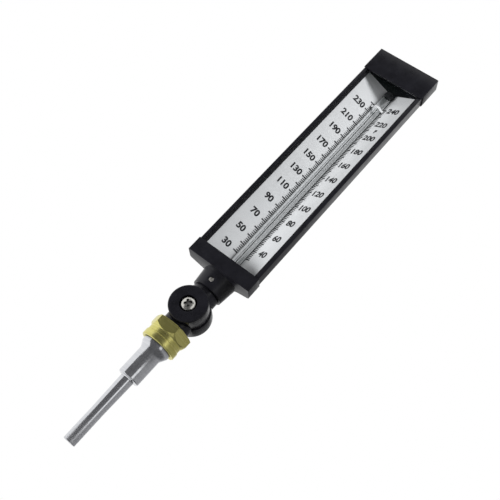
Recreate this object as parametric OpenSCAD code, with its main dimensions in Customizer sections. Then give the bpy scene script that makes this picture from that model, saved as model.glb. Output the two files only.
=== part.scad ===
// Adjustable-angle industrial thermometer: V-section case with a glass reading tube,
// two-knuckle elbow, union nut and stepped stem. Millimetres. The origin is on the stem's
// axis at the mouth of the union nut, +Z runs up the stem and the case, the scale faces -Y.

/* [Case] */
// Width over the end caps
case_w = 73; // [60:0.5:84]
// Length over the end caps
case_l = 314; // [300:1:420]
// Distance from the stem's axis to the front of the end caps
axis_d = 21.5; // [20:0.1:26]
// Depth of the flat sides
side_d = 16.5; // [16:0.1:18]
// Width of the shallow flange behind each side
flange_w = 14.6; // [10:0.1:16]
// Depth that the flange gains towards the back
flange_rise = 4.9; // [3:0.1:6.5]
// Width of the flat ridge down the back
ridge_w = 16; // [15:0.1:19]
// Wall of the body
wall = 1.5; // [1.2:0.1:1.7]
// How far the end caps stand proud of the body all round
cap_over = 0.8; // [0.8:0.1:1.4]
// Corner radius along the front edges
front_r = 1; // [0.4:0.1:2]
// Corner radius between side and flange
side_r = 3; // [1:0.1:4]
// Corner radius at the shoulder and the ridge
back_r = 4; // [2:0.1:5]

/* [End caps] */
// Height of the bottom cap
bottom_h = 16; // [14:0.5:22]
// Floor of the bottom cap
floor_t = 5; // [4:0.1:6]
// Height of the top cap at its sides
top_h = 27.5; // [20:0.5:40]
// How far the top cap's front reaches below its sides
visor_drop = 4; // [2:0.1:6]
// Thickness of the top cap's front between the lips
visor_t = 2.3; // [1.5:0.1:2.5]
// Roof of the top cap
roof_t = 4; // [3:0.1:6]
// Diameter of the cap screws' shank
cap_screw_d = 2.9; // [2.5:0.1:3.5]
// Diameter of the cap screws' head
cap_screw_head_d = 5.6; // [5:0.1:7]
// Distance of the cap screws from the middle of the case
cap_screw_x = 26; // [24:0.1:28]

/* [Window and scale] */
// Width of the lips that frame the window
lip_w = 3.7; // [2.4:0.1:4.5]
// Thickness of the lips
lip_t = 1.6; // [1.2:0.1:2]
// Thickness of the pane
pane_t = 2.4; // [2:0.1:3]
// How far the pane's edges reach under the lips
pane_bite = 1.2; // [0.8:0.1:1.4]
// Thickness of the glazing strips
strip_t = 1; // [0.6:0.1:1.5]
// Width of the strips behind the pane's edges
strip_w = 3.6; // [1.2:0.1:5]
// Thickness of the scale plate
plate_t = 0.8; // [0.5:0.1:1.2]
// Depth of the scale wings' outer edges behind the cap front
wing_edge_d = 7.6; // [7.5:0.1:9]
// Depth of the wings where they meet the tube groove
wing_root_d = 22; // [20.5:0.1:22.2]
// Width of the groove that the tube lies in
groove_w = 11; // [10.8:0.1:12]
// Gap between the tube and the bottom of its groove
groove_gap = 0.7; // [0.4:0.1:1.5]
// Gap between the scale plate's groove and the inside of the ridge
ridge_gap = 1.2; // [0.6:0.1:2.5]
// Height of the lowest mark above the bottom of the case
scale_start = 33; // [28:0.5:50]
// Length of the scale from its lowest to its highest mark
scale_l = 228.6; // [200:0.1:235]
// How far the scale plate runs past the highest mark
plate_over = 24; // [20:0.1:34]

/* [Reading tube] */
// Diameter of the glass tube
tube_d = 9.5; // [8.5:0.1:10]
// Distance of the tube's flat back from its middle
tube_flat = 3.6; // [3:0.1:4]
// Diameter of the tube's bore
bore_d = 1.1; // [0.9:0.05:1.4]
// Diameter of the liquid column
column_d = 0.8; // [0.5:0.05:0.85]
// How far the tube runs past the highest mark
tube_over = 17.5; // [10:0.5:18]
// Height of the tube's rubber bumper
bumper_h = 8; // [8:0.1:11]
// Wall of the bumper and the ferrule's cup
cup_t = 0.5; // [0.4:0.05:0.55]
// Width of the clip strap
clip_w = 2.6; // [1.5:0.1:4]
// Thickness of the clip strap
clip_t = 0.5; // [0.3:0.05:0.7]
// Distance of the clip's legs from the middle
clip_x = 7; // [6.8:0.1:8]
// Distance of the clip below the highest mark
clip_drop = 3.5; // [0:0.1:8]

/* [Neck] */
// Length of the neck under the bottom cap
neck_l = 18; // [14:0.1:24]
// Diameter of the neck at the bottom cap
neck_top_d = 36.2; // [34:0.1:40]
// Diameter of the neck at its lower end
neck_end_d = 32.4; // [31:0.1:35]
// Height of the neck's hump up the back of the bottom cap
hump_h = 8; // [4:0.1:12]
// Diameter of the spigot that the case turns on
spigot_d = 25; // [22:0.1:27]
// Diameter of the set screw
set_d = 5; // [4:0.1:5.5]
// Depth of the groove that the set screw runs in
set_groove = 1.3; // [1:0.1:1.6]
// Section diameter of the swivel ring
ring_d = 1.8; // [1.4:0.1:2]

/* [Elbow] */
// Diameter of the front knuckle
knuckle_d = 38; // [36:0.1:40]
// How far the rear knuckle stands out past the front one, all round
rear_over = 1; // [0:0.1:1.5]
// Thickness of the front knuckle, from the stem's axis to its outer face
knuckle_t = 18; // [17:0.1:20]
// Thickness of the rear knuckle
rear_t = 16; // [15.5:0.1:20]
// Edge radius of the knuckles
knuckle_r = 1.4; // [0.5:0.1:2]
// Diameter of the stubs that carry the knuckles
stub_d = 28.5; // [27:0.1:30]
// Distance from the pivot to the lower end of the neck
pivot_to_neck = 24; // [23:0.1:30]
// Distance from the pivot to the lower end of the lower stub
pivot_to_nut = 22; // [21.5:0.1:28]
// Diameter of the pivot screw
pivot_d = 8; // [6:0.1:8.5]
// Diameter of the pivot screw's head
head_d = 15.5; // [12.5:0.1:17]
// Clearance round the head in its recess
head_gap = 0.6; // [0.4:0.1:1.5]
// Length of the cross recess in the head
cross_l = 8; // [5:0.1:9]
// Width of the cross recess's arms
cross_w = 2.2; // [1.2:0.1:3]
// Height of the pivot screw's head
head_h = 3.6; // [3:0.1:4.5]
// Depth of the recess for the head
head_recess = 3.4; // [2:0.1:4]
// Thickness of the spring washer under the head
spring_t = 1.7; // [1.2:0.1:2]
// Width of the pivot nut across its flats
pivot_nut_af = 13; // [12:0.1:14]
// Thickness of the pivot nut
pivot_nut_t = 6.5; // [5:0.1:7]
// Thickness of the friction washer between the knuckles
friction_t = 1; // [0.6:0.1:1.6]
// Outer diameter of the chamber that the capillary loops in
chamber_d = 25; // [23:0.1:26]
// Inner diameter of that chamber
chamber_in_d = 12; // [11:0.1:13]
// Depth of that chamber in each knuckle
chamber_t = 3.2; // [2.8:0.1:4]

/* [Union nut] */
// Width across the flats
hex_af = 36.5; // [35.5:0.1:38.5]
// Height of the nut
nut_h = 23; // [21:0.1:26]
// Height of the hexagon along its corners
hex_h = 7.5; // [6:0.1:9]
// Diameter of the collar
collar_d = 37; // [36:0.1:38.5]
// Height of the collar
collar_h = 7; // [5:0.1:8]
// Diameter of the waist between collar and hexagon
waist_d = 35.4; // [34.5:0.1:35.6]
// Minor diameter of the union thread
thread_d = 30.3; // [29.5:0.1:31]
// Depth of the union thread
thread_l = 14; // [13:0.1:16]
// Thickness of the slip ring under the nut's shoulder
nut_ring_t = 1.5; // [1:0.1:2]
// Turn of the hexagon as the nut stands
nut_turn = 0; // [0:1:60]

/* [Stem] */
// Diameter of the straight bulb end
tip_d = 12.5; // [11.5:0.1:13]
// Length of the straight bulb end
tip_l = 35; // [30:0.5:45]
// Diameter at the top of the tapered length
taper_d = 14; // [13.2:0.1:15]
// Length of the lower stem, straight and tapered
lower_l = 74; // [60:0.5:120]
// Diameter of the upper stem
upper_d = 22.2; // [21:0.1:23]
// Length of the upper stem with its cone
upper_l = 35.5; // [30:0.1:50]
// Length of the cone seat
cone_l = 6.5; // [5:0.1:9]
// Diameter of the flange above the cone
flange_d = 29.6; // [28.6:0.1:29.7]
// How far the flange's lower edge hangs below the nut's mouth
flange_hang = 3.5; // [2:0.1:5]
// Thickness of the flange
flange_t = 5; // [4:0.1:7]
// Diameter of the shank that the nut turns on
shank_d = 21; // [19:0.1:21.5]
// Diameter of the bore for the bulb
bulb_bore_d = 9.2; // [8:0.1:9.6]
// Wall at the closed tip
tip_t = 2; // [1.5:0.1:4]
// Diameter of the capillary
capillary_d = 1.4; // [1:0.1:1.6]
// Radius of the capillary's loop round the pivot
loop_r = 9; // [8.5:0.1:9.5]
// Diameter of the lower elbow's spigot in the top of the stem
joint_d = 15; // [13:0.1:16]
// Length of that spigot
joint_l = 18; // [12:0.1:20]

/* [Fits] */
// Radial clearance of a running fit
run_fit = 0.08; // [0.05:0.01:0.1]
// Clearance between pieces that stay together
slip_fit = 0.1; // [0.05:0.01:0.15]
// Gap between pieces that move past each other
body_gap = 0.3; // [0.2:0.05:0.5]

/* [Hidden] */
$fn = 96;
far = 200;
arc_steps = 6;

// heights, from the mouth of the union nut up
stub_z = nut_h + body_gap;
pivot_z = stub_z + pivot_to_nut;
neck_z = pivot_z + pivot_to_neck;
case_z = neck_z + neck_l;
top_z = case_z + case_l;
floor_z = case_z + floor_t;
roof_z = top_z - roof_t;
mark_low_z = case_z + scale_start;
mark_high_z = mark_low_z + scale_l;
set_z = neck_z + neck_l * 0.45;
ring_z = neck_z + neck_l * 0.78;
tip_z = -flange_hang - upper_l - lower_l;
upper_end_z = -flange_hang - upper_l;
cone_z = -flange_hang - cone_l;
flange_top_z = flange_t - flange_hang;
bulb_z = tip_z + tip_t + slip_fit;

// depths, from the front of the end caps back
front_y = -axis_d;
groove_d = axis_d + tube_flat + groove_gap;
ridge_d = groove_d + plate_t + ridge_gap + wall + cap_over;
lip_back_d = cap_over + lip_t;
strip_back_d = lip_back_d + pane_t + strip_t + slip_fit;
opening_w = case_w - 2 * (cap_over + lip_w);
pane_w = opening_w + 2 * pane_bite;
pane_slot_w = pane_w + 2 * slip_fit;
wing_run = opening_w / 2 - groove_w / 2;
wing_slope = (wing_root_d - wing_edge_d) / wing_run;
wing_bite = 0.8;
wing_lift = plate_t * sqrt(1 + wing_slope * wing_slope);
wing_slot_w = opening_w + 2 * (wing_bite + slip_fit + plate_t * plate_t * wing_slope / wing_lift);
wing_slot_front_d = wing_edge_d - wing_slope * wing_bite - slip_fit;
wing_slot_back_d = wing_edge_d + wing_lift + slip_fit;
wing_rib_t = 1.6;
wing_rib_w = 1.8;
mouth_half = [
    [opening_w / 2, -1],
    [opening_w / 2, wing_slot_back_d],
    [opening_w / 2 - wing_rib_w, wing_slot_back_d + wing_slope * wing_rib_w],
    [opening_w / 2 - wing_rib_w, wing_slot_back_d + wing_slope * wing_rib_w + wing_rib_t + 1]
];
wing_room_half = [
    [opening_w / 2 - 2 * wing_rib_w, wing_slot_front_d],
    [opening_w / 2 - 2 * wing_rib_w, wing_slot_back_d + wing_slope * 2 * wing_rib_w],
    [groove_w / 2, wing_slot_back_d + wing_slope * wing_run]
];

// The outline of the case seen from above: flat sides, shallow flanges, a V and a ridge
case_half = [
    [case_w / 2, 0],
    [case_w / 2, side_d],
    [case_w / 2 - flange_w, side_d + flange_rise],
    [ridge_w / 2, ridge_d]
];
case_radii = [front_r, side_r, back_r, back_r];
function unit(v) = v / norm(v);
function mirrored(half) = concat(half, [for (i = [len(half) - 1:-1:0]) [-half[i][0], half[i][1]]]);
function palindrome(list) = concat(list, [for (i = [len(list) - 1:-1:0]) list[i]]);
function inward(a, b) = let (u = unit(b - a)) [-u[1], u[0]];
function corner_shift(a, p, b, d) = let (m = inward(a, p), n = inward(p, b)) p + d * (m + n) / (1 + m * n);
function shrink(pts, d) = let (n = len(pts))
    [for (i = [0:n - 1]) corner_shift(pts[(i + n - 1) % n], pts[i], pts[(i + 1) % n], d)];
function turn(a) = a > 180 ? a - 360 : a < -180 ? a + 360 : a;
function corner_arc(a, p, b, r) = let (
        u = unit(a - p),
        v = unit(b - p),
        half = acos(u * v) / 2,
        c = p + unit(u + v) * r / sin(half),
        s = p + u * r / tan(half) - c,
        e = p + v * r / tan(half) - c,
        a0 = atan2(s[1], s[0]),
        da = turn(atan2(e[1], e[0]) - a0))
    [for (k = [0:arc_steps]) c + r * [cos(a0 + da * k / arc_steps), sin(a0 + da * k / arc_steps)]];
function rounded(pts, radii) = let (n = len(pts))
    [for (i = [0:n - 1]) each corner_arc(pts[(i + n - 1) % n], pts[i], pts[(i + 1) % n], radii[i])];
function case_outline(inset) = rounded(shrink(mirrored(case_half), inset), palindrome(case_radii));

// A bent sheet: the open path is its front face, and the sheet lies behind it
function path_shift(pts, i, d) =
    i == 0 ? pts[0] + d * inward(pts[0], pts[1]) :
    i == len(pts) - 1 ? pts[i] + d * inward(pts[i - 1], pts[i]) :
    corner_shift(pts[i - 1], pts[i], pts[i + 1], d);
function sheet(pts, t) = concat(pts, [for (i = [len(pts) - 1:-1:0]) path_shift(pts, i, t)]);

// An extrusion along Z of a section whose depths start at the front of the end caps
module along_case(z0, z1) {
    translate([0, front_y, z0]) linear_extrude(z1 - z0) children();
}
// A block across the case: full width w, between two depths and two heights
module across(w, d0, d1, z0, z1) {
    translate([-w / 2, front_y + d0, z0]) cube([w, d1 - d0, z1 - z0]);
}
// A turned piece about the pivot's axis, with its profile's height measured towards the back
module about_pivot() {
    translate([0, 0, pivot_z]) rotate([-90, 0, 0]) children();
}
// A bore along the pivot's axis between two depths
module pivot_bore(d, y0, y1) {
    translate([0, y0, pivot_z]) rotate([-90, 0, 0]) cylinder(d = d, h = y1 - y0);
}

/* Case */

cap_screw_tip = 0.6;
cap_screw_len = cap_over + wall + cap_screw_tip;
cap_screw_head_h = 1.6;
flange_tilt = atan2(flange_rise, flange_w);
// Places one piece at each cap screw, on the outside of the flange and square to it
module at_cap_screws(z) {
    for (side = [-1, 1])
        translate([side * cap_screw_x,
            front_y + side_d + (case_w / 2 - cap_screw_x) * tan(flange_tilt), z])
        rotate([-90, 0, 0]) rotate([0, side * flange_tilt, 0]) children();
}
module cap_screw_holes(z, d) {
    at_cap_screws(z) translate([0, 0, -cap_screw_len - slip_fit])
        cylinder(d = d, h = cap_screw_len + 2 * slip_fit, $fn = 32);
}
bottom_screw_z = (floor_z + case_z + bottom_h) / 2;
top_screw_z = (roof_z + top_z - top_h) / 2;

module case_body() {
    color("#1c1c1f") difference() {
        along_case(floor_z, roof_z) polygon(case_outline(cap_over + slip_fit));
        // hollow behind the ribs that carry the scale
        intersection() {
            along_case(floor_z - 1, roof_z + 1) polygon(case_outline(cap_over + wall));
            across(case_w, wing_slot_back_d + wing_rib_t, far, floor_z - 1, roof_z + 1);
        }
        // mouth between the lips, sloped like the scale wings, then the slots for the pane and the wings
        intersection() {
            along_case(floor_z - 1, roof_z + 1) polygon(mirrored(mouth_half));
            union() {
                along_case(floor_z - 1, roof_z + 1) polygon(case_outline(cap_over + wall));
                across(opening_w, -1, wing_slot_back_d, floor_z - 1, roof_z + 1);
            }
        }
        // room for the wings where the case's shoulders come near them
        along_case(floor_z - 1, roof_z + 1) polygon(mirrored(wing_room_half));
        across(pane_slot_w, lip_back_d, strip_back_d, floor_z - 1, roof_z + 1);
        across(wing_slot_w, wing_slot_front_d, wing_slot_back_d, floor_z - 1, roof_z + 1);
        cap_screw_holes(bottom_screw_z, cap_screw_d + slip_fit);
        cap_screw_holes(top_screw_z, cap_screw_d + slip_fit);
    }
}

module top_cap() {
    skirt_z = top_z - top_h;
    color("#1e1e21") difference() {
        union() {
            along_case(skirt_z, top_z) polygon(case_outline(0));
            intersection() {
                along_case(skirt_z - visor_drop, skirt_z) polygon(case_outline(0));
                across(case_w, 0, cap_over, skirt_z - visor_drop, skirt_z);
            }
            across(opening_w - 2 * slip_fit, cap_over / 2, visor_t, skirt_z - visor_drop, skirt_z);
        }
        difference() {
            along_case(skirt_z - 1, roof_z) polygon(case_outline(cap_over));
            across(opening_w - 2 * slip_fit, 0, visor_t, skirt_z - visor_drop - 1, roof_z);
            across(case_w, 0, cap_over, skirt_z - 2, skirt_z);
        }
        cap_screw_holes(top_screw_z, cap_screw_d + 2 * slip_fit);
    }
}

module bottom_cap() {
    rim_z = case_z + bottom_h;
    color("#1e1e21") difference() {
        union() {
            along_case(case_z, rim_z) polygon(case_outline(0));
            // neck, and its hump up the back of the cap
            translate([0, 0, neck_z]) cylinder(d1 = neck_end_d, d2 = neck_top_d, h = neck_l);
            translate([0, 0, case_z]) cylinder(d = neck_top_d, h = hump_h);
            translate([0, 0, case_z + hump_h])
                cylinder(d1 = neck_top_d, d2 = ridge_w, h = bottom_h - hump_h);
        }
        along_case(floor_z, rim_z + 1) polygon(case_outline(cap_over));
        translate([0, 0, neck_z - 1]) cylinder(d = spigot_d + 2 * run_fit, h = neck_l + 1 - slip_fit);
        translate([0, 0, case_z - 1]) cylinder(d = grommet_d + 2 * slip_fit, h = floor_t + 2);
        translate([0, -far / 2, set_z]) rotate([-90, 0, 0]) cylinder(d = set_d + 2 * slip_fit, h = far / 2);
        cap_screw_holes(bottom_screw_z, cap_screw_d + 2 * slip_fit);
    }
}

module cap_screws() {
    color("silver") for (z = [bottom_screw_z, top_screw_z]) at_cap_screws(z) {
        translate([0, 0, -cap_screw_len]) cylinder(d = cap_screw_d, h = cap_screw_len + 0.2, $fn = 32);
        translate([0, 0, 0]) intersection() {
            cylinder(d = cap_screw_head_d, h = cap_screw_head_h, $fn = 48);
            translate([0, 0, cap_screw_head_h - cap_screw_head_d]) sphere(r = cap_screw_head_d, $fn = 64);
        }
    }
}

module window() {
    color([0.85, 0.92, 0.92, 0.3])
        across(pane_w, lip_back_d, lip_back_d + pane_t, floor_z + slip_fit, roof_z - slip_fit);
}

module glazing_strips() {
    color("#26262a") for (side = [-1, 1])
        translate([side * (pane_w - strip_w) / 2 - strip_w / 2,
            front_y + lip_back_d + pane_t, floor_z + slip_fit])
            cube([strip_w, strip_t, roof_z - floor_z - 2 * slip_fit]);
}

/* Scale and reading tube */

slot_w = clip_t + 1;
slot_h = clip_w + 2;
clip_z = mark_high_z - clip_drop;
plate_half = [
    [opening_w / 2 + wing_bite, wing_edge_d - wing_slope * wing_bite],
    [groove_w / 2, wing_root_d],
    [groove_w / 2, groove_d]
];
module scale_plate() {
    front = mirrored(plate_half);
    color("#e4e7ea") difference() {
        along_case(floor_z + slip_fit, mark_high_z + plate_over) polygon(sheet(front, -plate_t));
        for (side = [-1, 1])
            translate([side * clip_x - slot_w / 2, -far / 2, clip_z - slot_h / 2]) cube([slot_w, far, slot_h]);
    }
}

ferrule_z = case_z + floor_t + 1;
tube_z = ferrule_z + 2;
tube_top_z = mark_high_z + tube_over;
module tube_solid(fit, z0, z1) {
    difference() {
        translate([0, 0, z0]) cylinder(d = tube_d + 2 * fit, h = z1 - z0);
        translate([-tube_d, tube_flat + fit, z0 - 1]) cube([2 * tube_d, tube_d, z1 - z0 + 2]);
    }
}
module reading_tube() {
    color([0.86, 0.92, 0.9, 0.6]) difference() {
        tube_solid(0, tube_z, tube_top_z);
        translate([0, 0, tube_z - 1]) cylinder(d = bore_d, h = mark_high_z + tube_over - tube_z - 3, $fn = 32);
    }
}

column_z = tube_z + slip_fit;
module indicating_column() {
    color("#2b2f33") translate([0, 0, column_z]) cylinder(d = column_d, h = mark_high_z - column_z, $fn = 32);
}

clip_r = tube_d / 2 + slip_fit;
clip_step = 75 / 5.5;
module tube_clip() {
    foot_d = wing_root_d + wing_lift + 1;
    half = [
        [clip_x + 2.5, foot_d],
        [clip_x - clip_t / 2, foot_d],
        [clip_x - clip_t / 2, axis_d - 1.2],
        for (k = [0:5]) [0, axis_d] + clip_r * [cos(15 + k * clip_step), -sin(15 + k * clip_step)]
    ];
    color("#dcdcd8") along_case(clip_z - clip_w / 2, clip_z + clip_w / 2)
        polygon(sheet(mirrored(half), clip_t));
}

module tube_bumper() {
    color("#141416") difference() {
        translate([0, 0, tube_top_z - bumper_h / 2]) rotate_extrude() polygon(concat(
            [[0, 0], [tube_d / 2 + slip_fit + cup_t, 0]],
            [for (a = [0:15:90])
                [tube_d / 2 + slip_fit + cup_t - 1.5, bumper_h - 1.5] + 1.5 * [cos(a), sin(a)]],
            [[0, bumper_h]]));
        tube_solid(slip_fit, tube_top_z - bumper_h, tube_top_z + slip_fit);
        translate([-far / 2, tube_flat + slip_fit + cup_t, tube_top_z - far / 2]) cube(far);
    }
}

grommet_d = 8;
ferrule_neck_d = 4;
ferrule_cup_h = 6;
module tube_ferrule() {
    color("silver") difference() {
        union() {
            translate([0, 0, ferrule_z]) cylinder(d = tube_d + 2 * (slip_fit + cup_t), h = ferrule_cup_h);
            translate([0, 0, case_z]) cylinder(d = ferrule_neck_d, h = floor_t + 2);
        }
        tube_solid(slip_fit, tube_z, ferrule_z + ferrule_cup_h + 1);
        translate([0, 0, case_z - 1]) cylinder(d = capillary_d + 2 * body_gap, h = floor_t + 4, $fn = 32);
        translate([-far / 2, tube_flat + slip_fit + cup_t, ferrule_z - 1]) cube(far);
    }
}

module tube_grommet() {
    color("#141416") difference() {
        union() {
            translate([0, 0, case_z + slip_fit]) cylinder(d = grommet_d, h = floor_t);
            translate([0, 0, floor_z + slip_fit]) cylinder(d = groove_w - 1, h = ferrule_z - floor_z - slip_fit);
        }
        translate([0, 0, case_z - 1]) cylinder(d = ferrule_neck_d + slip_fit, h = floor_t + 4);
        translate([-far / 2, tube_flat + slip_fit + cup_t, floor_z]) cube(far);
    }
}

/* Neck and elbow */

set_tip_r = spigot_d / 2 - set_groove + body_gap / 2;
set_face_r = neck_end_d / 2 + (neck_top_d - neck_end_d) / 2 * (set_z - neck_z) / neck_l - 0.6;
module neck_set_screw() {
    color("#b9b6a4") difference() {
        translate([0, -set_face_r, set_z]) rotate([-90, 0, 0])
            cylinder(d = set_d, h = set_face_r - set_tip_r, $fn = 48);
        translate([-0.5, -set_face_r - 1, set_z - set_d]) cube([1, 2.2, 2 * set_d]);
    }
}

ring_groove = ring_d + 0.1;
module swivel_ring() {
    color("#141416") translate([0, 0, ring_z]) rotate_extrude()
        translate([spigot_d / 2 - ring_groove + ring_d / 2, 0]) circle(d = ring_d - slip_fit, $fn = 32);
}

// A knuckle turned about the pivot: flat joint face at y0, rounded outer face at y1
knuckle_face = friction_t / 2;
rear_d = knuckle_d + 2 * rear_over;
module knuckle(d, y0, y1) {
    r = d / 2;
    dir = sign(y1 - y0);
    about_pivot() rotate_extrude() polygon(concat(
        [[0, y0], [r, y0]],
        [for (a = [0:15:90]) [r - knuckle_r, y1 - dir * knuckle_r] + knuckle_r * [cos(a), dir * sin(a)]],
        [[0, y1]]));
}
// The ring-shaped chamber that the capillary loops in, cut into a joint face
module chamber(y0, y1) {
    difference() {
        pivot_bore(chamber_d, y0, y1);
        pivot_bore(chamber_in_d, y0 - 1, y1 + 1);
    }
}
// The space that the other knuckle sweeps, with clearance
module knuckle_space(d, y0, y1) {
    pivot_bore(d + 2 * body_gap, y0, y1);
}
// All that lies past the diagonals of a stub, which the other stub reaches at a right angle
module past_diagonals(dir) {
    translate([0, far / 2, pivot_z]) rotate([90, 0, 0]) linear_extrude(far) polygon([
        [0, dir * body_gap], [far, dir * (far + body_gap)], [far, -dir * far],
        [-far, -dir * far], [-far, dir * (far + body_gap)]]);
}
capillary_bore_d = 3.6;
loop_y = knuckle_face + chamber_t - capillary_d / 2 - 0.4;
capillary_bore_y = loop_y + 0.4;

module upper_elbow() {
    stub_top_z = neck_z - body_gap;
    color("#202023") difference() {
        union() {
            knuckle(knuckle_d, -knuckle_face - body_gap / 2, -knuckle_t);
            difference() {
                translate([0, 0, pivot_z]) cylinder(d = stub_d, h = stub_top_z - pivot_z);
                knuckle_space(rear_d, -knuckle_face - body_gap / 2, far);
                past_diagonals(1);
            }
            translate([0, 0, pivot_z + rear_d / 2 + 1])
                cylinder(d = spigot_d, h = case_z - slip_fit - body_gap - pivot_z - rear_d / 2 - 1);
        }
        pivot_bore(pivot_d + 2 * run_fit, -far, 0);
        pivot_bore(head_d + 2 * head_gap, -far, head_recess - knuckle_t);
        chamber(-knuckle_face - chamber_t, 0);
        translate([0, -capillary_bore_y, pivot_z + chamber_d / 2 - 1]) cylinder(d = capillary_bore_d, h = far);
        translate([0, 0, set_z - set_d]) cylinder(d = spigot_d / 2.5, h = far);
        translate([0, 0, set_z - set_d / 2 - body_gap]) difference() {
            cylinder(d = spigot_d + 1, h = set_d + 2 * body_gap);
            translate([0, 0, -1]) cylinder(d = spigot_d - 2 * set_groove, h = set_d + 2 * body_gap + 2);
        }
        translate([0, 0, ring_z]) rotate_extrude()
            translate([spigot_d / 2 - ring_groove, -ring_d / 2 - slip_fit])
                square([ring_groove + 1, ring_d + 2 * slip_fit]);
    }
}

module lower_elbow() {
    color("#202023") difference() {
        union() {
            knuckle(rear_d, knuckle_face, rear_t);
            difference() {
                translate([0, 0, stub_z]) cylinder(d = stub_d, h = pivot_z - stub_z);
                knuckle_space(knuckle_d, -far, knuckle_face);
                past_diagonals(-1);
            }
            translate([0, 0, stub_z - joint_l]) cylinder(d = joint_d, h = joint_l + 1);
        }
        pivot_bore(pivot_d + slip_fit, 0, far);
        about_pivot() translate([0, 0, rear_t - pivot_nut_t - 0.5])
            cylinder(d = (pivot_nut_af + 2 * slip_fit) / cos(30), h = far, $fn = 6);
        chamber(0, knuckle_face + chamber_t);
        translate([0, capillary_bore_y, stub_z - joint_l - 1])
            cylinder(d = capillary_bore_d, h = joint_l + pivot_to_nut - chamber_d / 2 + 2);
    }
}

seat_y = head_recess - knuckle_t;
module pivot_screw() {
    head_r = head_d / 2;
    head_y = seat_y - spring_t;
    dome_r = (head_r * head_r + head_h * head_h) / (2 * head_h);
    color("#c9c9c4") union() {
        pivot_bore(pivot_d, head_y - 0.5, rear_t - 0.6);
        translate([0, head_y, pivot_z]) rotate([90, 0, 0]) difference() {
            intersection() {
                cylinder(d = head_d, h = head_h);
                translate([0, 0, head_h - dome_r]) sphere(r = dome_r);
            }
            // cross recess
            for (turn = [0, 90]) rotate([0, 0, turn + 45])
                translate([-cross_l / 2, -cross_w / 2, head_h - 1.9]) cube([cross_l, cross_w, 3]);
        }
    }
}

module pivot_washer() {
    color("#a8a8a4") difference() {
        pivot_bore(head_d - 0.5, seat_y - spring_t, seat_y - body_gap);
        pivot_bore(pivot_d + 2 * slip_fit, -far, far);
    }
}

module pivot_nut() {
    color("#b9b9b4") difference() {
        about_pivot() translate([0, 0, rear_t - pivot_nut_t - 0.5 + slip_fit])
            cylinder(d = pivot_nut_af / cos(30), h = pivot_nut_t - slip_fit, $fn = 6);
        pivot_bore(pivot_d + slip_fit, -far, far);
    }
}

module friction_washer() {
    color("#5a3f2c") difference() {
        pivot_bore(knuckle_d - 1, -knuckle_face, knuckle_face);
        pivot_bore(chamber_d + 0.6, -far, far);
    }
}

/* Union and stem */

module union_nut() {
    hex_z = nut_h - hex_h;
    corner_r = hex_af / 2 / cos(30);
    blank_r = corner_r + 0.5;
    rise = 1.2;
    edge = 1;
    waist_z = hex_z - (corner_r - waist_d / 2) * rise;
    color("#b5a65a") difference() {
        // turned blank: collar, waist, cone up to the hexagon, chamfered top
        rotate_extrude() polygon(concat(
            [[0, 0]],
            [for (a = [-90:30:0]) [collar_d / 2 - edge, edge] + edge * [cos(a), sin(a)]],
            [for (a = [0:30:90]) [collar_d / 2 - edge, collar_h - edge] + edge * [cos(a), sin(a)]],
            [[waist_d / 2, collar_h], [waist_d / 2, waist_z], [blank_r, waist_z + (blank_r - waist_d / 2) * rise],
             [blank_r, nut_h - edge - 0.25], [corner_r - 2 * edge, nut_h], [0, nut_h]]));
        // the six flats
        for (k = [0:5]) rotate([0, 0, nut_turn + 30 + 60 * k])
            translate([hex_af / 2, -far / 2, collar_h + 0.5]) cube(far);
        translate([0, 0, -1]) cylinder(d = thread_d, h = thread_l + 1);
        translate([0, 0, -0.01]) cylinder(d1 = thread_d + 2.4, d2 = thread_d, h = 1.2);
        cylinder(d = shank_d + 2 * body_gap, h = nut_h + 1);
    }
}

module nut_ring() {
    color("#c2b36a") translate([0, 0, thread_l - nut_ring_t - slip_fit]) difference() {
        cylinder(d = thread_d - 2 * slip_fit, h = nut_ring_t);
        translate([0, 0, -1]) cylinder(d = shank_d + 2 * body_gap, h = nut_ring_t + 2);
    }
}

module stem() {
    soft = 1.2;
    color("#b4b5b8") difference() {
        rotate_extrude() polygon(concat(
            [[0, tip_z], [tip_d / 2 - 0.4, tip_z], [tip_d / 2, tip_z + 0.4], [tip_d / 2, tip_z + tip_l],
             [taper_d / 2, upper_end_z - 1], [taper_d / 2 + 1, upper_end_z]],
            [for (a = [-90:30:0]) [upper_d / 2 - soft, upper_end_z + soft] + soft * [cos(a), sin(a)]],
            [[upper_d / 2, cone_z], [flange_d / 2, -flange_hang], [flange_d / 2, flange_top_z],
             [shank_d / 2, flange_top_z], [shank_d / 2, stub_z], [0, stub_z]]));
        translate([0, 0, tip_z + tip_t]) cylinder(d = bulb_bore_d, h = far);
        translate([0, 0, stub_z - joint_l - slip_fit]) cylinder(d = joint_d + slip_fit, h = far);
    }
}

bulb_d = bulb_bore_d - 2 * slip_fit;
bulb_l = tip_l - 5;
module sensing_bulb() {
    color("#c8c8c0") difference() {
        translate([0, 0, bulb_z]) rotate_extrude() polygon(concat(
            [[0, 0]],
            [for (a = [-90:15:0]) [bulb_d / 2 - 2, 2] + 2 * [cos(a), sin(a)]],
            [for (a = [0:15:90]) [bulb_d / 2 - 2, bulb_l - 2] + 2 * [cos(a), sin(a)]],
            [[0, bulb_l]]));
        translate([0, 0, bulb_z + bulb_l - 3]) cylinder(d = capillary_d + slip_fit, h = 4, $fn = 32);
    }
}

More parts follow.
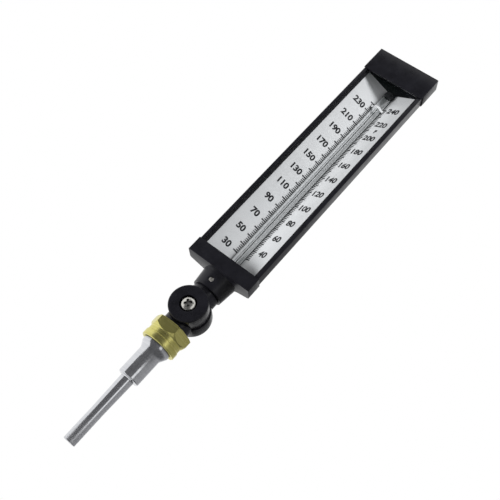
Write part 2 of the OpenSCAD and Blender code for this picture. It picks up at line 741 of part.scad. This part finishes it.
// The capillary: up the stem, once and a bit round the pivot screw, and up the spigot
loop_from = -150;
loop_turn = 420;
loop_rings = 30;
capillary_sides = 8;
function on_loop(s) = let (a = loop_from - loop_turn * s)
    [loop_r * cos(a), loop_y * (1 - 2 * s), pivot_z + loop_r * sin(a)];
function bezier(p, q, r, s, t) =
    p * pow(1 - t, 3) + q * 3 * t * pow(1 - t, 2) + r * 3 * t * t * (1 - t) + s * pow(t, 3);
loop_in = on_loop(0);
loop_out = on_loop(1);
lead = chamber_d / 2 + 3;
capillary_path = concat(
    [[0, 0, bulb_z + bulb_l - 3 + slip_fit], [0, 0, upper_end_z - 15], [0, loop_y, upper_end_z + 5]],
    [for (t = [0:0.2:0.8]) bezier([0, loop_y, pivot_z - lead], [0, loop_y, pivot_z - lead + 5],
        loop_in - 4 * [-0.5, 0, 0.866], loop_in, t)],
    [for (k = [0:loop_rings]) on_loop(k / loop_rings)],
    [for (t = [0.2:0.2:1]) bezier(loop_out, loop_out + 4 * [0.5, 0, 0.866],
        [0, -loop_y, pivot_z + lead - 5], [0, -loop_y, pivot_z + lead], t)],
    [[0, -loop_y, case_z - 11], [0, 0, case_z - 3], [0, 0, tube_z - slip_fit]]);
function along(path, i) = unit(path[min(i + 1, len(path) - 1)] - path[max(i - 1, 0)]);
function ring_at(path, i, r, n) = let (
        t = along(path, i),
        b = unit(cross(t, [0, 1, 0])),
        m = cross(b, t))
    [for (k = [0:n - 1]) path[i] + r * (cos(360 * k / n) * b + sin(360 * k / n) * m)];
module swept_tube(path, r, n) {
    last = len(path) - 1;
    polyhedron(
        points = concat([for (i = [0:last]) each ring_at(path, i, r, n)], [path[0], path[last]]),
        faces = concat(
            [for (i = [0:last - 1]) for (k = [0:n - 1]) let (j = (k + 1) % n) each [
                [i * n + k, i * n + j, (i + 1) * n + j],
                [i * n + k, (i + 1) * n + j, (i + 1) * n + k]]],
            [for (k = [0:n - 1]) [(k + 1) % n, k, (last + 1) * n]],
            [for (k = [0:n - 1]) [last * n + k, last * n + (k + 1) % n, (last + 1) * n + 1]]));
}
module capillary() {
    color("#b87c4a") swept_tube(capillary_path, capillary_d / 2, capillary_sides);
}

case_body();
top_cap();
bottom_cap();
cap_screws();
window();
glazing_strips();
scale_plate();
reading_tube();
indicating_column();
tube_clip();
tube_bumper();
tube_ferrule();
tube_grommet();
neck_set_screw();
swivel_ring();
upper_elbow();
lower_elbow();
pivot_screw();
pivot_washer();
pivot_nut();
friction_washer();
union_nut();
nut_ring();
stem();
sensing_bulb();
capillary();
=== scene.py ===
# Adjustable-angle industrial thermometer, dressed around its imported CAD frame. Metres.
# The sections follow the order in which the instrument is put together, from the stem up.
import math
import bmesh
import bpy
from mathutils import Matrix, Vector


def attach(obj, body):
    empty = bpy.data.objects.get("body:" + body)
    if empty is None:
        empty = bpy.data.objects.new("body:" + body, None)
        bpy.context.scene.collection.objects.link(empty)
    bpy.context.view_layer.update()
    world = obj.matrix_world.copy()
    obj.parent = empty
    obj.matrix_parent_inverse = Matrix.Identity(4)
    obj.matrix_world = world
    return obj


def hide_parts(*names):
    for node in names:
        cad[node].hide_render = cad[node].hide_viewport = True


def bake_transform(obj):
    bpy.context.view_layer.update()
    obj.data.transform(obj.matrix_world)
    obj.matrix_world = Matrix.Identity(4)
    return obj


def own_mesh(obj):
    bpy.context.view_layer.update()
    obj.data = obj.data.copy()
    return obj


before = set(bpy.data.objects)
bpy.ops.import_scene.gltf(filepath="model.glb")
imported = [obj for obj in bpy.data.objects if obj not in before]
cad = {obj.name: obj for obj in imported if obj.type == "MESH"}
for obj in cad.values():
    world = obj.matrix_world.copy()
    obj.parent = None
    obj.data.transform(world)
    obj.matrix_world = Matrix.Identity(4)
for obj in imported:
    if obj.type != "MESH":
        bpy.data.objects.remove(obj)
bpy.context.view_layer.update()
scene = bpy.context.scene

# Stem: turned from aluminium bar and polished, with a slim tip for the bulb, a thick upper part
# and a cone that seals in the well. The lower elbow's spigot is pressed into its upper end.
mm = 0.001


def finish_of(name):
    """A new material with its node tree and its main shader."""
    finish = bpy.data.materials.new(name)
    finish.use_nodes = True
    tree = finish.node_tree
    return finish, tree, tree.nodes["Principled BSDF"]


def grain(tree, scale, detail=3.0, stretch=(1.0, 1.0, 1.0)):
    """Noise that lies in the piece itself, in metres; stretch draws it out into lines or rings."""
    place = tree.nodes.new("ShaderNodeTexCoord")
    fit = tree.nodes.new("ShaderNodeMapping")
    fit.inputs["Scale"].default_value = stretch
    noise = tree.nodes.new("ShaderNodeTexNoise")
    noise.inputs["Scale"].default_value = scale
    noise.inputs["Detail"].default_value = detail
    tree.links.new(place.outputs["Object"], fit.inputs["Vector"])
    tree.links.new(fit.outputs["Vector"], noise.inputs["Vector"])
    return noise.outputs["Fac"]


def along(tree, axis):
    """How far a point of the piece lies along one of the frame's axes."""
    place = tree.nodes.new("ShaderNodeTexCoord")
    parts = tree.nodes.new("ShaderNodeSeparateXYZ")
    tree.links.new(place.outputs["Object"], parts.inputs["Vector"])
    return parts.outputs[axis]


def tones(tree, factor, dark, light, start=0.35, end=0.65):
    """Two colours spread over a noise."""
    ramp = tree.nodes.new("ShaderNodeValToRGB")
    ramp.color_ramp.elements[0].position = start
    ramp.color_ramp.elements[0].color = (*dark, 1.0)
    ramp.color_ramp.elements[1].position = end
    ramp.color_ramp.elements[1].color = (*light, 1.0)
    tree.links.new(factor, ramp.inputs["Fac"])
    return ramp.outputs["Color"]


def spread(tree, factor, low, high, start=0.3, end=0.7):
    """A value brought into a range; start and end fit a noise, for roughness."""
    span = tree.nodes.new("ShaderNodeMapRange")
    span.inputs["From Min"].default_value = start
    span.inputs["From Max"].default_value = end
    span.inputs["To Min"].default_value = low
    span.inputs["To Max"].default_value = high
    tree.links.new(factor, span.inputs["Value"])
    return span.outputs["Result"]


def relief(tree, shader, factor, depth, strength):
    """Fine surface relief of the given depth."""
    bump = tree.nodes.new("ShaderNodeBump")
    bump.inputs["Distance"].default_value = depth
    bump.inputs["Strength"].default_value = strength
    tree.links.new(factor, bump.inputs["Height"])
    tree.links.new(bump.outputs["Normal"], shader.inputs["Normal"])


def turned_metal(name, dark, light, rough, stretch=(25.0, 25.0, 1400.0)):
    """Machined metal: rings left by the tool, and small changes of polish."""
    finish, tree, shader = finish_of(name)
    shader.inputs["Metallic"].default_value = 1.0
    rings = grain(tree, scale=1.0, detail=4.0, stretch=stretch)
    tree.links.new(tones(tree, rings, dark, light), shader.inputs["Base Color"])
    polish = grain(tree, scale=240.0, detail=4.0)
    tree.links.new(spread(tree, polish, *rough), shader.inputs["Roughness"])
    relief(tree, shader, rings, depth=0.006 * mm, strength=0.12)
    return finish


def mesh_of(form, name):
    """Turns a finished form into a mesh."""
    mesh = bpy.data.meshes.new(name)
    form.to_mesh(mesh)
    form.free()
    return mesh


def dressed(mesh, name, finish, body, stands_for, sharp_from=28.0):
    """Puts a mesh in the scene as a piece that rides on a body."""
    for face in mesh.polygons:
        face.use_smooth = True
    mesh.set_sharp_from_angle(angle=math.radians(sharp_from))
    mesh.materials.clear()
    mesh.materials.append(finish)
    piece = bpy.data.objects.new(name, mesh)
    scene.collection.objects.link(piece)
    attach(piece, body)
    if stands_for:
        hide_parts(*stands_for)
    return piece


def softened(node, name, finish, body, width, steps=2, from_angle=35.0):
    """A copy of a CAD piece with its sharp edges broken, as moulding and machining leave them."""
    form = bmesh.new()
    form.from_mesh(cad[node].data)
    same_point = 1e-6
    bmesh.ops.remove_doubles(form, verts=form.verts, dist=same_point)
    flat = math.radians(0.5)
    bmesh.ops.dissolve_limit(form, angle_limit=flat, verts=form.verts, edges=form.edges)
    sharp = []
    for edge in form.edges:
        if len(edge.link_faces) == 2 and edge.calc_face_angle() > math.radians(from_angle):
            sharp.append(edge)
    bmesh.ops.bevel(form, geom=sharp, offset=width, offset_type="OFFSET", segments=steps,
                    profile=0.5, affect="EDGES", clamp_overlap=True)
    return dressed(mesh_of(form, name), name, finish, body, [node])


def darker_in_recess(tree, colour, reach, closed, wide, shade_tone):
    """A colour with painted shade where other faces stand close, as under shoulders and in slots."""
    recess = tree.nodes.new("ShaderNodeAmbientOcclusion")
    recess.samples = 32
    recess.inputs["Distance"].default_value = reach
    unshaded = spread(tree, recess.outputs["AO"], low=0.0, high=1.0, start=closed, end=wide)
    shaded_colour = tree.nodes.new("ShaderNodeMix")
    shaded_colour.data_type = "RGBA"
    shaded_colour.inputs["A"].default_value = (*shade_tone, 1.0)
    tree.links.new(unshaded, shaded_colour.inputs["Factor"])
    tree.links.new(colour, shaded_colour.inputs["B"])
    return shaded_colour.outputs["Result"]


def dulled_tip(finish, dull_from, dull_to, more_rough):
    """Adds roughness along the stem towards its tip, where it is worn by the wells it goes into."""
    tree = finish.node_tree
    shader = tree.nodes["Principled BSDF"]
    polish = shader.inputs["Roughness"].links[0].from_socket
    wear = spread(tree, along(tree, "Z"), low=0.0, high=more_rough, start=dull_from, end=dull_to)
    rough = tree.nodes.new("ShaderNodeMath")
    tree.links.new(polish, rough.inputs[0])
    tree.links.new(wear, rough.inputs[1])
    tree.links.new(rough.outputs["Value"], shader.inputs["Roughness"])


aluminium = turned_metal("polished_aluminium", dark=(0.62, 0.63, 0.66), light=(0.72, 0.73, 0.75),
                         rough=(0.10, 0.17))
dulled_tip(aluminium, dull_from=-72.0 * mm, dull_to=-108.0 * mm, more_rough=0.26)
stem_tree = aluminium.node_tree
stem_base = stem_tree.nodes["Principled BSDF"].inputs["Base Color"]
stem_colour = stem_base.links[0].from_socket
# Painted shade: the aluminium is darkened where the shoulder and the nut stand close over it.
stem_shade = darker_in_recess(stem_tree, stem_colour, reach=7.0 * mm, closed=0.42, wide=0.86,
                              shade_tone=(0.05, 0.05, 0.055))
stem_tree.links.new(stem_shade, stem_base)
softened("stem", "turned_stem", aluminium, "stem", width=0.3 * mm)

# Sensing bulb and capillary: a closed steel bulb in the stem's tip, and a drawn copper-alloy tube
# from it through the elbow, where a loop round the pivot lets it follow the tilt.


def coat(node, finish):
    """Gives a CAD piece whose shape is right its finish."""
    cad[node].data.materials.clear()
    cad[node].data.materials.append(finish)


bulb_steel = turned_metal("bulb_steel", dark=(0.44, 0.44, 0.45), light=(0.58, 0.58, 0.59),
                          rough=(0.25, 0.4))
coat("sensing_bulb", bulb_steel)
copper = turned_metal("drawn_capillary", dark=(0.42, 0.25, 0.15), light=(0.58, 0.36, 0.22),
                      rough=(0.2, 0.35), stretch=(900.0, 900.0, 60.0))
capillary_mesh = cad["capillary"].data.copy()
capillary = dressed(capillary_mesh, "capillary_tube", copper, "stem",
                    ["capillary"], sharp_from=40.0)
capillary.parent = None
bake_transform(capillary)

# Elbow halves: two knuckles moulded in black plastic. The lower one is fixed to the stem, the upper
# one carries the case, and a screw clamps them over a fibre washer so that the angle stays as set.


def mottled(name, scale, detail, dark, light, rough):
    """A finish whose colour and roughness change together over a noise."""
    finish, tree, shader = finish_of(name)
    cloud = grain(tree, scale, detail)
    tree.links.new(tones(tree, cloud, dark, light), shader.inputs["Base Color"])
    tree.links.new(spread(tree, cloud, *rough), shader.inputs["Roughness"])
    return finish, tree, shader, cloud


def moulded_black(name, rough, gloss):
    """Moulded black plastic: fine grain from the mould, and a little handling polish."""
    finish, tree, shader, _ = mottled(name, scale=90.0, detail=5.0, dark=(0.006, 0.006, 0.008),
                                      light=(0.009, 0.009, 0.012), rough=rough)
    shader.inputs["Specular IOR Level"].default_value = gloss
    mould_grain = grain(tree, scale=1500.0, detail=2.0)
    relief(tree, shader, mould_grain, depth=0.02 * mm, strength=0.1)
    return finish


elbow_black = moulded_black("elbow_black", rough=(0.24, 0.34), gloss=0.25)
softened("lower_elbow", "lower_knuckle", elbow_black, "stem", width=0.3 * mm)
softened("upper_elbow", "upper_knuckle", elbow_black, "elbow", width=0.3 * mm)
fibre, fibre_tree, fibre_shader, fibre_specks = mottled(
    "brown_fibre", scale=900.0, detail=6.0, dark=(0.07, 0.035, 0.02), light=(0.15, 0.08, 0.045),
    rough=(0.7, 0.9))
relief(fibre_tree, fibre_shader, fibre_specks, depth=0.05 * mm, strength=0.4)
coat("friction_washer", fibre)

# Pivot screw, spring washer and nut: nickel-plated steel. The screw's pan head has a cross recess,
# darkened at the bottom by painted shade, and sits sunk in the upper knuckle; the nut is let into the
# lower one.


def plated_steel(name, dark, light, rough, recess_reach):
    """Bright plated steel with painted shade in its recesses, where other faces stand close."""
    finish, tree, shader, cloud = mottled(name, scale=420.0, detail=4.0, dark=dark, light=light,
                                          rough=rough)
    shader.inputs["Metallic"].default_value = 1.0
    plating = shader.inputs["Base Color"].links[0].from_socket
    shade = darker_in_recess(tree, plating, recess_reach, closed=0.55, wide=0.9,
                             shade_tone=(0.02, 0.02, 0.02))
    tree.links.new(shade, shader.inputs["Base Color"])
    relief(tree, shader, cloud, depth=0.02 * mm, strength=0.15)
    return finish


nickel = plated_steel("nickel_plate", dark=(0.58, 0.57, 0.53), light=(0.70, 0.69, 0.65),
                      rough=(0.18, 0.3), recess_reach=3.2 * mm)
softened("pivot_screw", "pivot_head_screw", nickel, "stem", width=0.15 * mm)
coat("pivot_washer", nickel)
coat("pivot_nut", nickel)

# Union nut and its slip ring: turned from yellow brass bar, hexagon above and round collar below.
# The nut hangs loose on the ring round the stem until it is screwed onto the well.
brass = turned_metal("yellow_brass", dark=(0.62, 0.57, 0.17), light=(0.74, 0.69, 0.26),
                     rough=(0.26, 0.36))
softened("union_nut", "brass_nut", brass, "nut", width=0.3 * mm)
coat("nut_ring", brass)

# Swivel ring: an O-ring moulded in dull black rubber with a bloom on it. It lies between the spigot
# and the neck, which turn on each other.
rubber, rubber_tree, rubber_shader, rubber_bloom = mottled(
    "black_rubber", scale=300.0, detail=5.0, dark=(0.016, 0.016, 0.018), light=(0.028, 0.028, 0.031),
    rough=(0.55, 0.75))
rubber_shader.inputs["Specular IOR Level"].default_value = 0.25
relief(rubber_tree, rubber_shader, rubber_bloom, depth=0.04 * mm, strength=0.25)
coat("swivel_ring", rubber)

# Bottom cap, its set screw, grommet and ferrule: the cap is moulded in one with the tapering neck.
# The set screw in the neck's front bites in the spigot's groove and stops the case from turning.
case_black = moulded_black("case_black", rough=(0.26, 0.36), gloss=0.27)
softened("bottom_cap", "neck_cap", case_black, "case", width=0.35 * mm)
# The zinc plate also gets a thin painted shade at the edges of its recesses.
zinc = plated_steel("zinc_plate", dark=(0.80, 0.78, 0.73), light=(0.90, 0.88, 0.83),
                    rough=(0.40, 0.52), recess_reach=0.2 * mm)
softened("neck_set_screw", "swivel_lock_screw", zinc, "case", width=0.1 * mm)
coat("tube_grommet", rubber)
coat("tube_ferrule", nickel)

# Case body and cap screws: a black V trough with lips along its front that hold the glazing, closed
# by the end caps, which four short screws through the flanges keep on.
softened("case_body", "trough", case_black, "case", width=0.3 * mm)
softened("cap_screws", "flange_screws", zinc, "case", width=0.1 * mm)

# Scale plate: aluminium sheet bent to two angled wings with a groove for the tube, painted white,
# with painted shade in the groove beside the tube. Its graduations and figures are printed in black:
# 30, 50 and so on to 230 on the left wing, and 40, 60 and so on to 240 on the right.
white, white_tree, white_shader, _ = mottled(
    "white_enamel", scale=60.0, detail=4.0, dark=(0.690, 0.705, 0.720), light=(0.715, 0.730, 0.745),
    rough=(0.42, 0.55))
paint_grain = grain(white_tree, scale=1800.0, detail=2.0)
relief(white_tree, white_shader, paint_grain, depth=0.01 * mm, strength=0.2)
plate_white = white.copy()
plate_white.name = "plate_enamel"
plate_tree = plate_white.node_tree
plate_base = plate_tree.nodes["Principled BSDF"].inputs["Base Color"]
plate_colour = plate_base.links[0].from_socket
# Painted shade: the white darkens in the groove beside the tube, fading out from 9 to 14 mm off the
# middle.
groove_shade = darker_in_recess(plate_tree, plate_colour, reach=8.0 * mm, closed=0.25, wide=0.9,
                         shade_tone=(0.17, 0.175, 0.18))
from_middle = plate_tree.nodes.new("ShaderNodeMath")
from_middle.operation = "ABSOLUTE"
plate_tree.links.new(along(plate_tree, "X"), from_middle.inputs[0])
clear_of_tube = spread(plate_tree, from_middle.outputs[0], low=0.0, high=1.0, start=9.0 * mm,
                       end=14.0 * mm)
plate_mix = plate_tree.nodes.new("ShaderNodeMix")
plate_mix.data_type = "RGBA"
plate_tree.links.new(clear_of_tube, plate_mix.inputs["Factor"])
plate_tree.links.new(groove_shade, plate_mix.inputs["A"])
plate_tree.links.new(plate_colour, plate_mix.inputs["B"])
plate_tree.links.new(plate_mix.outputs["Result"], plate_base)
coat("scale_plate", plate_white)

ink = mottled("black_ink", scale=1200.0, detail=3.0, dark=(0.012, 0.012, 0.014),
              light=(0.022, 0.022, 0.025), rough=(0.5, 0.65))[0]
ink_depth = 0.03 * mm
wing_edge_x = 32.0 * mm
wing_edge_y = -13.9 * mm
wing_slope = 0.54340
wing_tilt = math.atan(wing_slope)
left = -1
right = 1
low_mark_z = 120.3 * mm
low_mark = 30
high_mark = 240
scale_length = 228.6 * mm
print_form = bmesh.new()


def mark_height(reading):
    """How high a reading's line stands."""
    return low_mark_z + scale_length * (reading - low_mark) / (high_mark - low_mark)


def on_wing(side, x, z):
    """The frame of a printed sign on a wing: reading direction, up the case, and out of the face."""
    reading = Vector((math.cos(wing_tilt), -side * math.sin(wing_tilt), 0.0))
    out = Vector((-side * math.sin(wing_tilt), -math.cos(wing_tilt), 0.0))
    place = Vector((side * x, wing_edge_y + wing_slope * (wing_edge_x - x), z))
    spot = Matrix((reading, Vector((0.0, 0.0, 1.0)), out)).transposed().to_4x4()
    spot.translation = place
    return spot


def print_mark(side, start, end, z, thick):
    """A graduation line from start to end, measured across the case."""
    spot = on_wing(side, (start + end) / 2, z)
    size = Matrix.Diagonal(((end - start) / math.cos(wing_tilt), thick, ink_depth, 1.0))
    bmesh.ops.create_cube(print_form, size=1.0, matrix=spot @ size)


def print_sign(words, side, x, z, size, weight):
    """A figure, upright to the case and centred on its place."""
    letters = bpy.data.curves.new("figure", "FONT")
    letters.body = words
    letters.align_x = "CENTER"
    letters.align_y = "CENTER"
    letters.size = size
    letters.offset = weight
    letters.extrude = ink_depth / 2
    letters.resolution_u = 5
    holder = bpy.data.objects.new("figure", letters)
    scene.collection.objects.link(holder)
    bpy.context.view_layer.update()
    drawn = holder.evaluated_get(bpy.context.evaluated_depsgraph_get())
    shape = bpy.data.meshes.new_from_object(drawn)
    shape.transform(on_wing(side, x, z))
    print_form.from_mesh(shape)
    bpy.data.objects.remove(holder)
    bpy.data.curves.remove(letters)
    bpy.data.meshes.remove(shape)


groove_edge = 5.7 * mm
degrees_apart = 2
ten_thick = 1.5 * mm
ten_left = 10.4 * mm
ten_right = 9.9 * mm
line_thick = 1.0 * mm
line_left = 8.6 * mm
line_right = 9.2 * mm
for reading in range(low_mark, high_mark + 1, degrees_apart):
    ten = reading % 10 == 0
    thick = ten_thick if ten else line_thick
    print_mark(left, groove_edge, ten_left if ten else line_left, mark_height(reading), thick)
    print_mark(right, groove_edge, ten_right if ten else line_right, mark_height(reading), thick)
figure_size = 9.6 * mm
figure_weight = 0.42 * mm
figures_left = 18.6 * mm
figures_right = 17.2 * mm
figures_apart = 20
first_right = low_mark + figures_apart // 2
for reading in range(low_mark, high_mark, figures_apart):
    print_sign(str(reading), left, figures_left, mark_height(reading), figure_size, figure_weight)
for reading in range(first_right, high_mark + 1, figures_apart):
    print_sign(str(reading), right, figures_right, mark_height(reading), figure_size, figure_weight)
unit_x = 17.4 * mm
unit_reading = 210
unit_size = 6.0 * mm
print_sign("F", right, unit_x, mark_height(unit_reading), unit_size, figure_weight)
print_mesh = mesh_of(print_form, "scale_print")
dressed(print_mesh, "scale_print", ink, "case", [])

# Reading tube and its column: a glass tube with white opal glass drawn into its back, against which
# the dark thread of liquid in the bore is easy to see. The thread shortens as it falls.
glass, glass_tree, glass_shader = finish_of("tube_glass")
glass_shader.inputs["Base Color"].default_value = (0.10, 0.12, 0.11, 1.0)
glass_shader.inputs["Specular IOR Level"].default_value = 0.4
glass_shader.inputs["Roughness"].default_value = 0.06
rim = glass_tree.nodes.new("ShaderNodeLayerWeight")
rim.inputs["Blend"].default_value = 0.45
thicker_at_rim = spread(glass_tree, rim.outputs["Facing"], low=0.04, high=0.40, start=0.15, end=0.95)
glass_tree.links.new(thicker_at_rim, glass_shader.inputs["Alpha"])
coat("reading_tube", glass)
opal_reach = 4.5 * mm
opal_flat = 3.3 * mm
opal_thick = 0.2 * mm
opal_steps = 40
opal_start = 190.0
opal_turn = 200.0
tube_low = 97.0 * mm
tube_high = 365.5 * mm
opal_edge = ((0.0, tube_low), (opal_thick, tube_low), (opal_thick, tube_high), (0.0, tube_high))
opal_form = bmesh.new()
opal_rows = []
for step in range(opal_steps + 1):
    around = math.radians(opal_start - opal_turn * step / opal_steps)
    row = []
    for skin, z in opal_edge:
        x = (opal_reach + skin) * math.cos(around)
        y = min((opal_reach + skin) * math.sin(around), opal_flat + skin)
        row.append(opal_form.verts.new((x, y, z)))
    opal_rows.append(row)
opal_form.faces.new(opal_rows[0])
opal_form.faces.new(reversed(opal_rows[-1]))
for here, there in zip(opal_rows, opal_rows[1:]):
    for corner in range(4):
        after = (corner + 1) % 4
        opal_form.faces.new((here[after], here[corner], there[corner], there[after]))
opal_mesh = mesh_of(opal_form, "opal_back")
dressed(opal_mesh, "opal_back", white, "case", [])

liquid = mottled("dark_liquid", scale=500.0, detail=3.0, dark=(0.008, 0.009, 0.010),
                 light=(0.016, 0.018, 0.020), rough=(0.2, 0.35))[0]
thread_mesh = cad["indicating_column"].data.copy()
thread = dressed(thread_mesh, "liquid_thread", liquid, "column", ["indicating_column"])
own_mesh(thread)

# Tube clip and bumper: a spring strap coloured plain white, partly a painted highlight, pulls the
# tube into the groove at the highest mark, and a black rubber cap cushions the tube's closed end.
coat("tube_clip", white)
coat("tube_bumper", rubber)

# Glazing: a pane cut from clear acrylic sheet and slid in behind the lips, with faint smears from
# wiping, and two rubber strips that press it forward.
pane, pane_tree, pane_shader = finish_of("clear_acrylic")
pane_shader.inputs["Base Color"].default_value = (0.04, 0.05, 0.05, 1.0)
pane_shader.inputs["Alpha"].default_value = 0.04
pane_shader.inputs["Specular IOR Level"].default_value = 0.3
pane_smears = grain(pane_tree, scale=40.0, detail=4.0)
pane_rough = spread(pane_tree, pane_smears, low=0.03, high=0.08)
pane_tree.links.new(pane_rough, pane_shader.inputs["Roughness"])
coat("window", pane)
coat("glazing_strips", rubber)

# Top cap: moulded in the case's black, with a tall front face that shades the scale's upper end like
# a visor. The face is left plain.
softened("top_cap", "visor_cap", case_black, "case", width=0.2 * mm)

# Floor: a round sheet of pale paper well below the part, which takes a soft shadow. The camera sees
# it close to white, as it does the background.
floor_z = -0.75
floor_form = bmesh.new()
bmesh.ops.create_circle(floor_form, cap_ends=True, segments=96, radius=2.0,
                        matrix=Matrix.Translation((0.0, 0.0, floor_z)))
floor_mesh = mesh_of(floor_form, "floor")
paper, paper_tree, paper_shader = finish_of("pale_paper")
paper_cloud = grain(paper_tree, scale=6.0, detail=3.0)
paper_colour = tones(paper_tree, paper_cloud, dark=(0.80, 0.80, 0.80), light=(0.84, 0.84, 0.84))
paper_tree.links.new(paper_colour, paper_shader.inputs["Base Color"])
paper_shader.inputs["Roughness"].default_value = 0.9
paper_white = paper_tree.nodes.new("ShaderNodeEmission")
paper_white.inputs["Color"].default_value = (1.0, 1.0, 1.0, 1.0)
paper_seen = paper_tree.nodes.new("ShaderNodeLightPath").outputs["Is Camera Ray"]
paper_share = spread(paper_tree, paper_seen, low=0.0, high=0.7, start=0.0, end=1.0)
paper_mix = paper_tree.nodes.new("ShaderNodeMixShader")
paper_tree.links.new(paper_share, paper_mix.inputs["Fac"])
paper_tree.links.new(paper_shader.outputs["BSDF"], paper_mix.inputs[1])
paper_tree.links.new(paper_white.outputs["Emission"], paper_mix.inputs[2])
paper_out = paper_tree.nodes["Material Output"]
paper_tree.links.new(paper_mix.outputs["Shader"], paper_out.inputs["Surface"])
floor_mesh.materials.append(paper)
floor = bpy.data.objects.new("floor", floor_mesh)
floor.visible_glossy = False
scene.collection.objects.link(floor)

# Camera: below the part's middle and to its right, looking up at it, and rolled so that the case
# leans across the picture. Its place and lens were worked out from the case's straight edges.
camera_place = Vector((0.25341, -0.67431, -0.13703))
camera_ahead = Vector((-0.32704, 0.87855, 0.34813))
camera_roll = math.radians(42.787)
camera_data = bpy.data.cameras.new("camera")
camera_data.sensor_width = 36.0
camera_data.lens = 56.975
camera_data.clip_start = 0.01
camera_data.clip_end = 20.0
camera = bpy.data.objects.new("camera", camera_data)
upright = camera_ahead.to_track_quat("-Z", "Y").to_matrix().to_4x4()
rolled = Matrix.Rotation(camera_roll, 4, "Z")
camera.matrix_world = Matrix.Translation(camera_place) @ upright @ rolled
scene.collection.objects.link(camera)
scene.camera = camera

# Studio: a small key light from the upper right, a broader one from low on the left, and white all
# round. Four bent cards on the camera's side give the polished metal its darker bands.
middle = Vector((0.0, 0.0, 0.2))


def studio_light(name, from_where, far, size, power):
    """A round soft light that looks at the part."""
    towards = Vector(from_where).normalized()
    light_data = bpy.data.lights.new(name, "AREA")
    light_data.shape = "DISK"
    light_data.size = size
    light_data.energy = power
    light = bpy.data.objects.new(name, light_data)
    light.location = middle + towards * far
    light.rotation_euler = (-towards).to_track_quat("-Z", "Y").to_euler()
    light.visible_glossy = False
    scene.collection.objects.link(light)


studio_light("key", from_where=(1.3, -1.2, 1.25), far=0.85, size=0.18, power=6.4)
studio_light("left_fill", from_where=(-1.1, -0.75, -0.95), far=1.0, size=0.45, power=11.8)

card_middle = math.degrees(math.atan2(camera_place.y, camera_place.x))
card_radius = 1.6
card_steps = 20
card_foot = -0.4
card_head = 2.4
pale_head = 0.85
low_foot = -3.2


def studio_card(name, first, last, card_low, card_high, dark, light):
    """A bent card round the part, between two angles from the camera, seen only in reflections."""
    form = bmesh.new()
    posts = []
    for step in range(card_steps + 1):
        around = math.radians(card_middle + first + (last - first) * step / card_steps)
        foot = Vector((card_radius * math.cos(around), card_radius * math.sin(around), card_low))
        head = Vector((foot.x, foot.y, card_high))
        posts.append((form.verts.new(foot), form.verts.new(head)))
    for near, next_post in zip(posts, posts[1:]):
        form.faces.new((near[0], next_post[0], next_post[1], near[1]))
    mesh = mesh_of(form, name)
    card_paper, tree, shader = finish_of(name)
    cloud = grain(tree, scale=3.0, detail=3.0)
    tree.links.new(tones(tree, cloud, dark, light), shader.inputs["Base Color"])
    shader.inputs["Roughness"].default_value = 0.9
    shader.inputs["Specular IOR Level"].default_value = 0.1
    mesh.materials.append(card_paper)
    card = bpy.data.objects.new(name, mesh)
    card.visible_camera = False
    card.visible_diffuse = False
    card.visible_transmission = False
    card.visible_shadow = False
    scene.collection.objects.link(card)


studio_card("dark_card", first=-68.0, last=17.0, card_low=card_foot, card_high=card_head,
            dark=(0.34, 0.34, 0.35), light=(0.40, 0.40, 0.41))
studio_card("grey_card", first=37.0, last=126.0, card_low=card_foot, card_high=card_head,
            dark=(0.63, 0.63, 0.64), light=(0.69, 0.69, 0.70))
studio_card("pale_card", first=126.0, last=152.0, card_low=card_foot, card_high=pale_head,
            dark=(0.76, 0.76, 0.77), light=(0.80, 0.80, 0.81))
studio_card("low_card", first=-60.0, last=140.0, card_low=low_foot, card_high=card_foot,
            dark=(0.36, 0.36, 0.37), light=(0.44, 0.44, 0.45))

world = bpy.data.worlds.new("studio")
world.use_nodes = True
scene.world = world
sky_tree = world.node_tree
sky = sky_tree.nodes["Background"]
path = sky_tree.nodes.new("ShaderNodeLightPath")
seen = path.outputs["Is Camera Ray"]
for kind in ("Is Glossy Ray", "Is Transmission Ray"):
    either = sky_tree.nodes.new("ShaderNodeMath")
    either.operation = "MAXIMUM"
    sky_tree.links.new(seen, either.inputs[0])
    sky_tree.links.new(path.outputs[kind], either.inputs[1])
    seen = either.outputs[0]
fill = spread(sky_tree, seen, low=0.30, high=1.0, start=0.0, end=1.0)
sky_tree.links.new(fill, sky.inputs["Strength"])
sky.inputs["Color"].default_value = (1.0, 1.0, 1.0, 1.0)
scene.view_settings.view_transform = "Standard"
